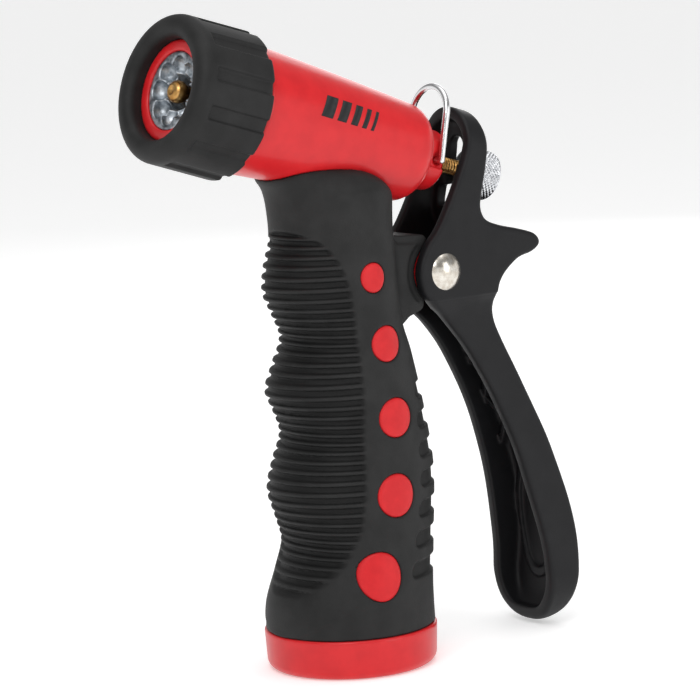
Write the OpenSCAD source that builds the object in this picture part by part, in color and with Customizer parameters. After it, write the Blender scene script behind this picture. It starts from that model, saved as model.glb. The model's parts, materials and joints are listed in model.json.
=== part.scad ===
// Rear-lever hose spray gun.
// A cast barrel stands on a rubber-covered grip, and a lever behind the grip pulls a valve stem back.
// Axes: +Z up the grip, -X the way it sprays, Y = 0 the mirror plane.
// Origin: centre of the grip's bottom face, where the hose screws in. Millimetres.

/* [Barrel] */
// Angle of the barrel above level, in degrees
barrel_tilt = 17.4; // [17:0.1:17.8]
// Height at which the barrel's axis crosses the grip's axis
barrel_z = 108.7; // [108.4:0.1:109]
// Radius of the barrel behind the front bumper
barrel_front_r = 13.1; // [12.9:0.1:13.3]
// Radius of the barrel at its rear end
barrel_rear_r = 10.2; // [10:0.1:10.4]
// Radius of the nose that carries the bumper
nose_r = 10.2; // [10:0.1:10.4]
// Radius of the neck behind the barrel
neck_r = 6.3; // [6.2:0.1:6.6]
// Radius of the water chamber in the barrel
chamber_r = 6.8; // [6.4:0.1:7]

/* [Bumper] */
// Radius of the rubber bumper at its front edge
bumper_front_r = 14.9; // [14.6:0.1:15.1]
// Radius of the rubber bumper at its rear edge
bumper_rear_r = 15.1; // [14.8:0.1:15.4]
// Grooves around the bumper
bumper_grooves = 12; // [8:1:14]

/* [Grip] */
// Radius of the ring at the grip's bottom
base_r = 17.7; // [17.5:0.05:18]
// Height of that ring
base_h = 8.1; // [7.5:0.1:8.5]
// Radius of the hose socket at its thread roots
socket_r = 13.6; // [13.5:0.05:13.7]
// Depth of the hose socket up to its washer
socket_depth = 8.9; // [8.5:0.1:9.2]
// Radius of the water passage in the grip
passage_r = 6; // [5:0.1:6.5]

/* [Lever] */
// Lever pivot, distance behind the grip's axis
pivot_x = 22.6; // [22.4:0.1:22.8]
// Lever pivot, height
pivot_z = 78.6; // [78.4:0.1:78.8]
// Half the lever's width across its arms
arm_half = 8; // [7.8:0.1:8.2]
// Thickness of the lever's walls
lever_wall = 2.4; // [2.2:0.1:2.5]
// Radius of the pivot rivet's shank
rivet_r = 2.2; // [2:0.1:2.4]

/* [Valve] */
// Radius of the brass stem
stem_r = 1.7; // [1.6:0.05:1.8]
// Radius of the round opening that the stem closes
orifice_r = 2.6; // [2.5:0.05:2.8]
// Radius of the adjusting knob
knob_r = 5.2; // [5:0.1:5.3]
// Coils in the return spring
spring_coils = 12; // [9:1:14]

/* [Bail] */
// Radius of the bail's wire
wire_r = 0.62; // [0.56:0.02:0.66]
// Half the distance between the bail's legs
bail_half = 6.2; // [6.1:0.05:6.3]
// Height of the bail's straight legs
bail_leg = 9.6; // [9.2:0.1:10]
// Angle at which the bail leans towards the nose, in degrees
bail_lean = 4; // [0:0.5:6]

/* [Hidden] */
$fn = 48;
running = 0.05;  // radial clearance of a running fit
snug = 0.03;     // clearance between two pieces that stay together
cut = 0.5;       // how far a cutting shape runs past the face that it cuts

// Places along the barrel's axis: 0 where it crosses the grip's axis, positive towards the nose
nose_s = 38.6;
bumper_front_s = 41.8;
bumper_rear_s = 24.4;
barrel_rear_s = -21.9;
barrel_edge = 4;
neck_end_s = -26.6;
insert_front_s = 38.3;
insert_rear_s = 30;
insert_r = 7.9;
chamber_end_s = -15;
gland_end_s = -17;
gland_r = 3.5;
bail_s = -25.2;
bail_taper = 3;
flat_half = bail_half - wire_r - 0.35;
knob_front_s = -36.5;
knob_len = 5.5;
stem_rear_s = -41.2;

// Valve pieces, from the opening backwards
washer_t = 2;
cup_t = 1.4;
cup_rear_s = insert_rear_s - washer_t - cup_t;
seat_washer_t = 0.8;
spring_wire = 0.5;
spring_mid_r = 3.6;
gland_washer_t = 0.8;
hose_washer_t = 2.6;
ring_r = 0.87;
gland_nut_front_s = gland_end_s - gland_washer_t - 2 * ring_r - 0.15;

// Grip: [height, reach] of its front and rear edges, and [height, half width]
front_line = [
  [8.1, 17.7], [14, 17.1], [20, 14.2], [25.5, 11.9], [31, 13.8], [37, 16], [42.5, 14.3], [48, 11.6],
  [53, 13.6], [57.5, 15.7], [62.5, 13.4], [67.5, 10.7], [72.5, 13], [77.5, 15.5], [83, 14.8],
  [88, 12.9], [94, 13.2], [98, 14.4], [101, 17.3], [103, 20], [104, 21]
];
rear_line = [
  [8, 17.3], [16, 17.6], [25, 18.7], [39, 20.1], [51, 18.5], [63, 15.7], [72, 13], [88, 12.2],
  [96, 12.6], [104, 13.2]
];
side_line = [
  [8, 17.4], [20, 16.4], [40, 15.2], [60, 14], [80, 12.9], [95, 12.6], [98, 12.2], [100, 11.4],
  [102, 10], [104, 8]
];
// Top edge of the rubber against the barrel, seen from the side: [distance behind the axis, height]
saddle = [
  [-24, 100.9], [-17.5, 100.7], [-14.5, 101.4], [-12, 102.5], [-8.7, 103], [-5.4, 102.8], [-0.3, 101.8],
  [4, 100.2], [8, 98], [12, 95.4], [16, 92.6]
];
ring_points = 28;
core_r = 9.2;
bell_r = 15.4;
bell_top = 12;

// Red plugs up each side of the grip: [distance behind the axis, height, radius]
plugs = [[-3.4, 20.9, 5.1], [1.8, 36.5, 4.55], [3.7, 52, 4.15], [2.3, 66.8, 3.75], [0.2, 80.2, 3.2]];
plug_edge = 1.6;  // thickness of a plug at its thinner edge
plug_rise = 0.1;  // how far a plug stands out of the rubber

// Pivot lug, and the rubber collar around its root
lug_half = 5;
lug_r = 5;
head_r = 3.75;
head_h = 1.5;
tail_r = rivet_r - 0.5;
bush_r = 3.4;
arm_inner = arm_half - lever_wall;
lug_web = [[4, 73], [pivot_x, pivot_z - lug_r], [pivot_x, pivot_z + lug_r], [4, 86]];
collar = [[4, 67.5], [12.2, 70], [14, 71.4], [17, 72.4], [18.4, 85], [12.6, 85.4], [4, 87]];
collar_half = 6;
collar_gap_r = 7.9;

// Lever: side outline, from the arch down the front edge and back up over the spur
lever_outline = [
  [31.2, 113], [30.6, 108], [29.8, 102.9], [26.7, 96], [22, 88], [18.3, 83.8], [16.3, 79.2], [17.2, 74.6],
  [20.2, 71.6], [23.2, 69.3], [26.6, 65.5], [30.8, 59.6], [36, 50], [40.2, 39.5], [43, 29], [45.2, 17.8],
  [45.6, 10], [45.8, 4.4], [46.8, 0.9], [49.4, 0.8], [52, 4], [53.5, 11], [53.8, 19], [52.6, 28],
  [49.9, 37.2], [46.9, 45.2], [42.5, 54.8], [38.9, 62.2], [36.8, 67], [36.1, 71.2], [37.3, 75.6], [41.6, 79.2],
  [45.8, 80.4], [47.7, 81.9], [46.6, 83.8], [42.5, 85.2], [37.4, 86.5], [33.8, 88.1], [32.5, 90.8],
  [33.1, 94.3], [34.2, 98.6], [35, 103], [35.2, 107], [34.8, 113]
];
// Lever: inner face of the back wall, from the arch down to the bottom of the trough
trough_face = [
  [32.8, 113], [33, 107], [32.8, 103], [32, 98.6], [30.9, 94.3], [30.3, 90.8], [31.2, 87.2], [33, 84],
  [34, 80.8], [33.8, 76.5], [33.8, 71.6], [34.6, 66.2], [37, 60.4], [40.2, 53.6], [44.4, 44.9],
  [47.9, 36.6], [50.4, 27.4], [51.3, 19], [51, 12], [50, 6.6], [48.2, 3.6]
];
// Lever: half width against height, above the round bottom end
bulb_half = 10;
bulb_z = 11.4;
bulb_h = 11;
lever_side = [
  [bulb_half, bulb_z], [9.3, 20], [7.9, 31], [7.2, 40], [6.4, 47.5], [5.9, 56], [5.5, 64], [5.6, 68],
  [6.5, 70.8], [7.7, 72.8], [arm_half, 74.6], [arm_half, 90]
];
rib_t = 1.2;
rib_h = 3.5;
rib_cross_z = [62, 50];
rib_angle = 40;

// Lever: window in the back wall, narrow around the stem and wider at its bottom
arch_u = 3.4;
slot_half = 2.1;
slot_top_z = 105.2;
slot_step_z = 95;
window_half = 3.9;
window_z = 90.8;

red = "#c8161d";
rubber = "#2a2a2c";
brass = "#b08a45";
steel = "#b9bcc0";

// ---- helpers ----

// Point at fraction t between b and c on the smooth curve through a, b, c and d
function smooth(a, b, c, d, t) =
  0.5 * (2 * b + (c - a) * t + (2 * a - 5 * b + 4 * c - d) * t * t + (3 * b - a - 3 * c + d) * t * t * t);

// Smooth closed curve through the points p, with n steps between each two
function closed_curve(p, n) =
  let (k = len(p))
  [for (i = [0:k - 1], j = [0:n - 1]) smooth(p[(i + k - 1) % k], p[i], p[(i + 1) % k], p[(i + 2) % k], j / n)];

// Smooth open curve through the points p, with n steps between each two
function open_curve(p, n) =
  let (k = len(p) - 1)
  concat(
    [for (i = [0:k - 1], j = [0:n - 1]) smooth(p[max(i - 1, 0)], p[i], p[i + 1], p[min(i + 2, k)], j / n)],
    [p[k]]
  );

// Places children on the barrel's axis: local Z along it, local X upwards across it
module on_barrel(s, u = 0)
  translate([0, 0, barrel_z])
    rotate([0, barrel_tilt - 90, 0])
      translate([u, 0, s])
        children();

// Extrudes a side view, drawn in X and Z, to half width w on each side of the mirror plane
module from_side(w)
  rotate([90, 0, 0])
    linear_extrude(2 * w, center = true)
      children();

// Rod along Y through (x, z), from y0 to y1
module rod_y(x, z, r, y0, y1)
  translate([x, y1, z])
    rotate([90, 0, 0])
      cylinder(h = y1 - y0, r = r);

// Ring on the barrel's axis from s0 to s1
module barrel_ring(s0, s1, outer, inner)
  on_barrel(s0)
    difference() {
      cylinder(h = s1 - s0, r = outer);
      translate([0, 0, -cut])
        cylinder(h = s1 - s0 + 2 * cut, r = inner);
    }

// Round sealing ring on the barrel's axis
module barrel_torus(s, mid_r, thick_r)
  on_barrel(s)
    rotate_extrude()
      translate([mid_r, 0])
        circle(r = thick_r);

// ---- fixed pieces ----

// Outside of the barrel, as radius against distance along the axis
module barrel_profile() {
  polygon([
    [0, barrel_rear_s], [barrel_rear_r - barrel_edge, barrel_rear_s],
    [barrel_rear_r - barrel_edge, barrel_rear_s + barrel_edge], [barrel_rear_r, barrel_rear_s + barrel_edge],
    [barrel_front_r, bumper_rear_s - 1], [nose_r, bumper_rear_s + 0.6], [nose_r, nose_s], [0, nose_s]
  ]);
  translate([barrel_rear_r - barrel_edge, barrel_rear_s + barrel_edge])
    circle(r = barrel_edge);
}

// Solid barrel without its neck, made thicker by extra
module barrel_shell(extra = 0)
  on_barrel(0)
    rotate_extrude() {
      barrel_profile();
      if (extra > 0)
        intersection() {
          translate([extra, 0])
            barrel_profile();
          translate([1, barrel_rear_s])
            square([30, nose_s - barrel_rear_s]);
        }
    }

// Core of the grip under the rubber, with its bell over the hose socket
module grip_core(extra = 0) {
  translate([0, 0, base_h - cut])
    cylinder(h = barrel_z - base_h, r = core_r + extra);
  translate([0, 0, base_h - cut])
    cylinder(h = bell_top - base_h + cut, r = bell_r + extra);
  translate([0, 0, bell_top])
    cylinder(h = bell_r - core_r, r1 = bell_r + extra, r2 = core_r + extra);
}

module pivot_lug(extra = 0)
  from_side(lug_half + extra) {
    polygon(lug_web);
    translate([pivot_x, pivot_z])
      circle(r = lug_r + extra);
  }

module base_ring()
  rotate_extrude() {
    edge = 2;
    low_r = base_r - 0.4;
    polygon([[0, 0], [low_r - edge, 0], [low_r - edge, edge], [low_r, edge], [base_r, base_h], [0, base_h]]);
    translate([low_r - edge, edge])
      circle(r = edge);
  }

// Sockets at the neck's sides for the bail's legs and feet
module bail_pockets()
  for (side = [-1, 1]) {
    on_barrel(neck_end_s - cut, -1.7)
      translate([0, side > 0 ? flat_half : -flat_half - 4, 0])
        cube([10, 4, barrel_rear_s - neck_end_s + cut]);
    on_barrel(bail_s)
      translate([0, side * 3.9, 0])
        rotate([-90 * side, 0, 0])
          cylinder(h = 4, r = wire_r + running);
  }

module body()
  color(red)
    difference() {
      union() {
        barrel_shell();
        on_barrel(neck_end_s)
          cylinder(h = 10, r = neck_r);
        grip_core();
        base_ring();
        pivot_lug();
      }
      // spray insert, water chamber, gland and stem
      on_barrel(insert_rear_s)
        cylinder(h = 12, r = insert_r + snug);
      on_barrel(chamber_end_s)
        cylinder(h = insert_rear_s - chamber_end_s + cut, r = chamber_r);
      on_barrel(neck_end_s - cut)
        cylinder(h = gland_end_s - neck_end_s + cut, r = gland_r);
      on_barrel(gland_end_s - cut)
        cylinder(h = 4, r = stem_r + 0.3);
      // hose socket and the passage above it
      translate([0, 0, -cut])
        cylinder(h = socket_depth + cut, r = socket_r);
      translate([0, 0, socket_depth])
        cylinder(h = hose_washer_t, r = socket_r + 0.3);
      translate([0, 0, socket_depth + hose_washer_t - 0.01])
        cylinder(h = 7, r1 = socket_r - 1.4, r2 = passage_r);
      cylinder(h = barrel_z, r = passage_r);
      // lever bush and bail
      rod_y(pivot_x, pivot_z, bush_r + snug, -arm_half, arm_half);
      bail_pockets();
    }

// Points around the grip at height z, for a front reach of front
function grip_ring(z, front) =
  let (rear = lookup(z, rear_line), side = lookup(z, side_line))
  [for (i = [0:ring_points - 1])
    let (a = 360 * i / ring_points, reach = cos(a) > 0 ? rear : front)
    [reach * cos(a), side * sin(a), z]];

// The whole outside of the rubber grip as one closed skin
module grip_skin() {
  line = open_curve(front_line, 2);
  last = len(line) - 1;
  points = [for (p = line) each grip_ring(p[0], p[1])];
  walls = [for (k = [0:last - 1], i = [0:ring_points - 1])
    let (j = (i + 1) % ring_points)
    [k * ring_points + i, (k + 1) * ring_points + i, (k + 1) * ring_points + j, k * ring_points + j]];
  bottom = [for (i = [0:ring_points - 1]) i];
  top = [for (i = [ring_points - 1:-1:0]) last * ring_points + i];
  polyhedron(points, concat(walls, [bottom, top]), convexity = 6);
}

// Half width of the grip at x, at height z
function skin_y(x, z) =
  lookup(z, side_line) * sqrt(1 - pow(x / lookup(z, x > 0 ? rear_line : front_line), 2));

// Distance of a plug's inner end from the mirror plane
function plug_inner(p) = min(skin_y(p[0] - p[2], p[1]), skin_y(p[0] + p[2], p[1])) - plug_edge;

module grip_sleeve()
  color(rubber)
    difference() {
      intersection() {
        union() {
          grip_skin();
          from_side(collar_half)
            difference() {
              polygon(collar);
              translate([pivot_x, pivot_z])
                circle(r = collar_gap_r);
            }
        }
        from_side(20)
          polygon(concat(open_curve(saddle, 2), [[30, 80], [30, 0], [-24, 0]]));
      }
      barrel_shell(snug);
      grip_core(snug);
      pivot_lug(snug);
      for (p = plugs) {
        rod_y(p[0], p[1], p[2] + snug, plug_inner(p) - snug, 20);
        rod_y(p[0], p[1], p[2] + snug, -20, snug - plug_inner(p));
      }
    }

// Ten round plugs, five on each side, with ends rounded to the grip's side
module grip_plugs()
  color(red)
    for (p = plugs, side = [-1, 1]) {
      // circle through the grip's side at the plug's two edges, with its centre on the mirror plane
      front_x = p[0] - p[2];
      front_y = skin_y(front_x, p[1]);
      back_x = p[0] + p[2];
      back_y = skin_y(back_x, p[1]);
      centre = (back_y * back_y - front_y * front_y + back_x * back_x - front_x * front_x) / (4 * p[2]);
      intersection() {
        rod_y(p[0], p[1], p[2], side > 0 ? plug_inner(p) : -20, side > 0 ? 20 : -plug_inner(p));
        translate([centre, 0, p[1] - 10])
          cylinder(h = 20, r = norm([front_x - centre, front_y]) + plug_rise);
      }
    }

module bumper()
  color(rubber)
    on_barrel(0)
      difference() {
        rotate_extrude() {
          rear_edge = 0.9;
          front_edge = 2.3;
          lip_edge = 1.1;
          polygon([
            [nose_r + snug, bumper_rear_s + 0.8], [bumper_rear_r - rear_edge, bumper_rear_s],
            [bumper_rear_r - rear_edge, bumper_rear_s + rear_edge], [bumper_rear_r, bumper_rear_s + rear_edge],
            [bumper_front_r, bumper_front_s - front_edge],
            [bumper_front_r - front_edge, bumper_front_s - front_edge],
            [bumper_front_r - front_edge, bumper_front_s], [nose_r + snug + lip_edge, bumper_front_s],
            [nose_r + snug + lip_edge, bumper_front_s - lip_edge], [nose_r + snug, bumper_front_s - lip_edge]
          ]);
          translate([bumper_rear_r - rear_edge, bumper_rear_s + rear_edge])
            circle(r = rear_edge);
          translate([bumper_front_r - front_edge, bumper_front_s - front_edge])
            circle(r = front_edge);
          translate([nose_r + snug + lip_edge, bumper_front_s - lip_edge])
            circle(r = lip_edge);
        }
        for (i = [0:bumper_grooves - 1])
          rotate([0, 0, (i + 0.5) * 360 / bumper_grooves])
            translate([bumper_rear_r - 0.6, -1.4, bumper_rear_s - cut])
              cube([3, 2.8, 14]);
      }

// Zinc disc pressed in the nose: a bowl around the opening, ringed by eight round scallops
module spray_insert()
  color(steel)
    on_barrel(insert_rear_s)
      difference() {
        depth = insert_front_s - insert_rear_s;
        cylinder(h = depth, r = insert_r);
        translate([0, 0, -cut])
          cylinder(h = depth, r = orifice_r);
        translate([0, 0, 3.2])
          cylinder(h = depth - 3.2 + 0.01, r1 = orifice_r, r2 = 4.4);
        for (i = [0:7])
          rotate([0, 0, 45 * i])
            translate([4.9, 0, depth - 2.2])
              cylinder(h = 3, r = 1.75);
        rotate_extrude()
          translate([insert_r - 1.4, 1.2])
            square([2, 1.6]);
      }

module insert_seal()
  color(rubber)
    barrel_torus(insert_rear_s + 2, insert_r - 0.68, 0.66);

module spring_seat()
  color(brass)
    barrel_ring(chamber_end_s, chamber_end_s + seat_washer_t, 6, stem_r + 0.3);

module gland_washer()
  color(brass)
    barrel_ring(gland_end_s - gland_washer_t, gland_end_s, gland_r - snug, stem_r + running);

module gland_ring()
  color(rubber)
    barrel_torus(gland_end_s - gland_washer_t - ring_r - 0.05, stem_r + ring_r + 0.02, ring_r);

// Slotted brass nut that closes the gland
module gland_nut()
  color(brass)
    difference() {
      barrel_ring(neck_end_s + 0.2, gland_nut_front_s, gland_r - snug, stem_r + running);
      on_barrel(neck_end_s)
        translate([-0.5, -gland_r - 1, -cut])
          cube([1, 2 * gland_r + 2, 1.4]);
    }

// Spring wire wound as a helix between its seat and the valve cup
module return_spring() {
  start = chamber_end_s + seat_washer_t + spring_wire + 0.05;
  span = cup_rear_s - spring_wire - 0.05 - start;
  turn_steps = 14;
  sides = 6;
  steps = spring_coils * turn_steps;
  points = [for (k = [0:steps], i = [0:sides - 1])
    let (a = 360 * k / turn_steps, b = 360 * i / sides, r = spring_mid_r + spring_wire * cos(b))
    [r * cos(a), r * sin(a), start + span * k / steps + spring_wire * sin(b)]];
  walls = [for (k = [0:steps - 1], i = [0:sides - 1])
    let (j = (i + 1) % sides)
    [k * sides + i, (k + 1) * sides + i, (k + 1) * sides + j, k * sides + j]];
  ends = [[for (i = [0:sides - 1]) i], [for (i = [sides - 1:-1:0]) steps * sides + i]];
  color(steel)
    on_barrel(0)
      polyhedron(points, concat(walls, ends), convexity = 8);
}

module pivot_bush()
  color("#d8d3c4")
    difference() {
      rod_y(pivot_x, pivot_z, bush_r, -lug_half, lug_half);
      rod_y(pivot_x, pivot_z, rivet_r + running, -lug_half - cut, lug_half + cut);
    }

// Two thin washers between the lug and the lever's arms
module arm_washers()
  color("#d8d3c4")
    for (side = [-1, 1])
      difference() {
        gap = arm_inner - lug_half;
        y0 = side > 0 ? lug_half + running : -arm_inner + running;
        rod_y(pivot_x, pivot_z, bush_r + 1.2, y0, y0 + gap - 2 * running);
        rod_y(pivot_x, pivot_z, rivet_r + running, -arm_half, arm_half);
      }

module hose_washer()
  color(rubber)
    translate([0, 0, socket_depth])
      difference() {
        cylinder(h = hose_washer_t, r = socket_r + 0.2);
        translate([0, 0, -cut])
          cylinder(h = 4, r = 7.5);
      }

// ---- pieces that slide with the stem ----

// Brass stem: threaded rear end, plain shaft, and the round tip that shapes the spray
module stem()
  color(brass)
    on_barrel(0)
      rotate_extrude()
        union() {
          collar_r = orifice_r - 0.15;
          neck = 1.45;
          tip_s = 37.7;
          tip_r = 2.15;
          polygon([
            [0, stem_rear_s], [stem_r - 0.5, stem_rear_s], [stem_r, stem_rear_s + 0.5],
            [stem_r, insert_rear_s], [collar_r, insert_rear_s], [collar_r, insert_rear_s + 0.8],
            [neck, insert_rear_s + 2], [neck, tip_s - 3.2], [tip_r, tip_s - 2.2], [tip_r, tip_s - 0.9],
            [tip_r - 0.9, tip_s], [0, tip_s]
          ]);
        }

module valve_washer()
  color(rubber)
    barrel_ring(insert_rear_s - washer_t, insert_rear_s - 0.01, 5.2, stem_r + snug);

module valve_cup()
  color(brass)
    barrel_ring(cup_rear_s, cup_rear_s + cup_t, 5.2, stem_r + snug);

module adjust_knob()
  color("silver")
    on_barrel(knob_front_s - knob_len)
      difference() {
        edge = 0.6;
        rotate_extrude()
          polygon([
            [stem_r + running, 0], [knob_r - edge, 0], [knob_r, edge], [knob_r, knob_len - edge],
            [knob_r - edge, knob_len], [stem_r + running, knob_len]
          ]);
        translate([0, 0, -cut])
          cylinder(h = 1.8 + cut, r = 3.4);
        for (i = [0:23])
          rotate([0, 0, 15 * i])
            translate([knob_r + 0.15, 0, -cut])
              cylinder(h = knob_len + 2 * cut, r = 0.45, $fn = 16);
      }

module knob_ring()
  color("#d8d3c4")
    barrel_ring(knob_front_s - knob_len + 0.2, knob_front_s - knob_len + 1.8, 3.4 - snug, stem_r + running);

// ---- lever ----

// Half of the lever's front view, drawn in Y and Z and made smaller by inset
function lever_half(inset) =
  concat(
    [for (a = [0:10:80]) [(bulb_half - inset) * sin(a), bulb_z - (bulb_h - inset) * cos(a)]],
    [for (p = open_curve(lever_side, 3)) [p[0] - inset, p[1]]]
  );

// Lever's front view below the arms, cut through along X
module lever_front(inset)
  rotate([90, 0, 90])
    linear_extrude(80)
      polygon(concat(
        lever_half(inset),
        [for (i = [len(lever_half(inset)) - 1:-1:1]) [-lever_half(inset)[i][0], lever_half(inset)[i][1]]]
      ));

// Arms and arch as seen along the barrel, with outer half width w
module lever_arch(w)
  on_barrel(-50, arch_u) {
    cylinder(h = 40, r = w);
    translate([-30, -w, 0])
      cube([30, 2 * w, 40]);
  }

module lever_solid(inset)
  intersection() {
    union() {
      lever_arch(arm_half - inset);
      intersection() {
        lever_front(inset);
        translate([0, -20, 0])
          cube([80, 40, 88]);
      }
    }
    from_side(20)
      children();
  }

// Crossed ribs on the floor of the trough
module trough_ribs()
  intersection() {
    lever_front(lever_wall - 0.2);
    from_side(20)
      polygon(concat(
        open_curve(trough_face, 2),
        [for (i = [len(trough_face) - 1:-1:0]) [trough_face[i][0] - rib_h, trough_face[i][1]]]
      ));
    union()
      for (z = rib_cross_z, a = [-rib_angle, rib_angle])
        translate([0, 0, z])
          rotate([a, 0, 0])
            translate([0, -20, -rib_t / 2])
              cube([80, 40, rib_t]);
  }

// Window in the back wall, cut through along X
module stem_window()
  translate([24, 0, 0])
    rotate([90, 0, 90])
      linear_extrude(20) {
        translate([0, slot_top_z - slot_half])
          circle(r = slot_half);
        translate([-slot_half, window_z + 1])
          square([2 * slot_half, slot_top_z - slot_half - window_z - 1]);
        translate([-window_half, window_z])
          square([2 * window_half, slot_step_z - window_z]);
      }

module lever()
  color(rubber)
    difference() {
      union() {
        difference() {
          lever_solid(0)
            polygon(closed_curve(lever_outline, 2));
          lever_solid(lever_wall)
            polygon(concat([[5, 115]], open_curve(trough_face, 2), [[5, 2.6]]));
        }
        trough_ribs();
      }
      stem_window();
      rod_y(pivot_x, pivot_z, rivet_r + running, -arm_half - 1, arm_half + 1);
    }

// Domed head outside the arm on one side
module rivet_head(side) {
  dome_r = (head_r * head_r + head_h * head_h) / (2 * head_h);
  y_face = arm_half + running;
  intersection() {
    translate([pivot_x, side * (y_face + head_h - dome_r), pivot_z])
      sphere(r = dome_r, $fn = 96);
    rod_y(pivot_x, pivot_z, head_r, side > 0 ? y_face : -y_face - 2, side > 0 ? y_face + 2 : -y_face, $fn = 96);
  }
}

// Rivet with its head on the near side and a thinner tail at the far side
module pivot_rivet()
  color("#c9c6bd") {
    rivet_head(-1);
    rod_y(pivot_x, pivot_z, rivet_r, -arm_half - 0.2, arm_half);
    rod_y(pivot_x, pivot_z, tail_r, arm_half - 0.1, arm_half + 0.9);
  }

// Cap pressed on the rivet's tail
module pivot_cap()
  color("#c9c6bd")
    difference() {
      rivet_head(1);
      rod_y(pivot_x, pivot_z, tail_r + snug, arm_half - 1, arm_half + 0.95);
    }

// ---- bail ----

// Wire bail: two legs, a round top, and feet turned in to the neck
module bail()
  color("#d5d7d9")
    on_barrel(bail_s)
      rotate([0, -bail_lean, 0]) {
        for (side = [-1, 1])
          translate([0, side * bail_half, 0]) {
            rotate([0, 90, -side * bail_taper]) {
              cylinder(h = bail_leg, r = wire_r);
              translate([0, 0, bail_leg])
                sphere(r = wire_r + 0.02);
            }
            sphere(r = wire_r);
            rotate([90 * side, 0, 0])
              cylinder(h = bail_half - 4.2, r = wire_r);
          }
        // round top, tangent to both legs
        top_r = (bail_half - bail_leg * sin(bail_taper)) / cos(bail_taper);
        translate([bail_leg * cos(bail_taper) - top_r * sin(bail_taper), 0, 0])
          rotate([0, 0, bail_taper - 90])
            rotate_extrude(angle = 180 - 2 * bail_taper)
              translate([top_r, 0])
                circle(r = wire_r);
      }

body();
grip_sleeve();
grip_plugs();
bumper();
spray_insert();
insert_seal();
stem();
valve_washer();
valve_cup();
return_spring();
spring_seat();
gland_washer();
gland_ring();
gland_nut();
adjust_knob();
knob_ring();
lever();
pivot_rivet();
pivot_cap();
pivot_bush();
arm_washers();
bail();
hose_washer();
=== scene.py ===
"""Looks of a rear-lever hose spray gun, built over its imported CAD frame.

Lengths of the pieces are millimetres in the CAD's axes, and mesh_object() turns them into metres.
Lights and camera are in metres. Rounded pieces are drawn as fields: functions that are negative
inside the piece, zero on its skin and positive outside, and that surface() turns into a smooth
closed mesh.
"""
import json
import math

import bpy
import numpy as np
from mathutils import Matrix, Vector


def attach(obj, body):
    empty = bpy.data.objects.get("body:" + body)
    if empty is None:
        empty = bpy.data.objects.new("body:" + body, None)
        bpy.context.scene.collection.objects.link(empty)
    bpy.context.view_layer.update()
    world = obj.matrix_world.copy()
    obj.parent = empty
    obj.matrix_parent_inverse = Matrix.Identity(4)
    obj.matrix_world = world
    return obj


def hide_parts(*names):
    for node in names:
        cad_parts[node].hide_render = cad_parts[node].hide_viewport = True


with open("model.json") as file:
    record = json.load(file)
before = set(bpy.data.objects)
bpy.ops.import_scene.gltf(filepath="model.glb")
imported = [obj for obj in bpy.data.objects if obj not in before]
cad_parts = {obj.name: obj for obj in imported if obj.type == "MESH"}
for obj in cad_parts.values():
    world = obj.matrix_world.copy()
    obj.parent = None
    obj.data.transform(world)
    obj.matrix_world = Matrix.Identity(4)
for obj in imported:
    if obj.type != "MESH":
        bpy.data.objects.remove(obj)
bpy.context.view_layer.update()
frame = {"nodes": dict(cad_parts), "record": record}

MM = 0.001

# ---- driving dimensions: the CAD's, with small corrections to the photograph ----

# in the names, S is a place along the barrel's axis from the grip's axis forward, and R a radius

TILT = math.radians(17.4)
BARREL_Z = 108.7
NOSE_S, BUMPER_FRONT_S, BUMPER_REAR_S = 38.6, 41.8, 24.4
BARREL_REAR_S, BARREL_EDGE, NECK_END_S, BAIL_S = -21.9, 4.0, -26.6, -25.2
INSERT_FRONT_S, INSERT_REAR_S = 38.3, 30.0
CHAMBER_END_S, GLAND_END_S = -15.0, -17.0
KNOB_FRONT_S, KNOB_LEN = -36.8, 5.6
BARREL_FRONT_R, BARREL_REAR_R, BARREL_BULGE, NOSE_R, NECK_R = 13.1, 10.2, 0.6, 10.2, 6.3
BUMPER_FRONT_R, BUMPER_REAR_R = 14.9, 15.1
CHAMBER_R, INSERT_R, ORIFICE_R, STEM_R, KNOB_R, GLAND_R = 6.8, 7.9, 2.6, 1.7, 5.2, 3.5
BASE_R, BASE_H, SOCKET_R, SOCKET_DEPTH, PASSAGE_R = 17.7, 8.1, 13.6, 8.9, 6.0
CORE_R, BELL_R, BELL_TOP = 9.2, 15.4, 12.0
PIVOT_X, PIVOT_Z, ARM_HALF, LEVER_WALL, RIVET_R = 22.6, 78.6, 8.0, 2.4, 2.2
LUG_HALF, LUG_R, BUSH_R = 5.0, 5.0, 3.4
BAIL_HALF, WIRE_R = 6.2, 0.62
SNUG = 0.03  # clearance between two pieces that stay together

# [height, reach] along the grip's front and rear edges, and [height, half width]
FRONT_LINE = [
    (8.1, 17.7), (14, 17.1), (20, 14.2), (25.5, 11.9), (31, 13.8), (37, 16), (42.5, 14.3), (48, 11.6),
    (53, 13.6), (57.5, 15.7), (62.5, 13.4), (67.5, 10.7), (72.5, 13), (77.5, 15.5), (83, 14.8),
    (88, 12.9), (94, 13.2), (98, 14.4), (101, 17.3), (103, 20), (104, 21),
]
REAR_LINE = [
    (8, 17.3), (16, 17.6), (25, 18.7), (39, 20.1), (51, 18.5), (63, 15.7), (72, 13), (88, 12.2),
    (96, 12.6), (104, 13.2),
]
SIDE_LINE = [
    (8, 17.4), (20, 16.4), (40, 15.2), (60, 14), (80, 12.9), (95, 12.6), (98, 12.2), (100, 11.4),
    (102, 10), (104, 8),
]
# [distance behind the grip's axis, height, half length, half height] of the plugs up each side
PLUGS = [
    (-3.25, 20.4, 4.45, 4.95), (1.95, 36.2, 4.65, 4.35), (3.5, 51.7, 4.4, 3.95),
    (2.7, 66.7, 3.85, 3.6), (0.5, 80.2, 3, 3),
]
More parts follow.
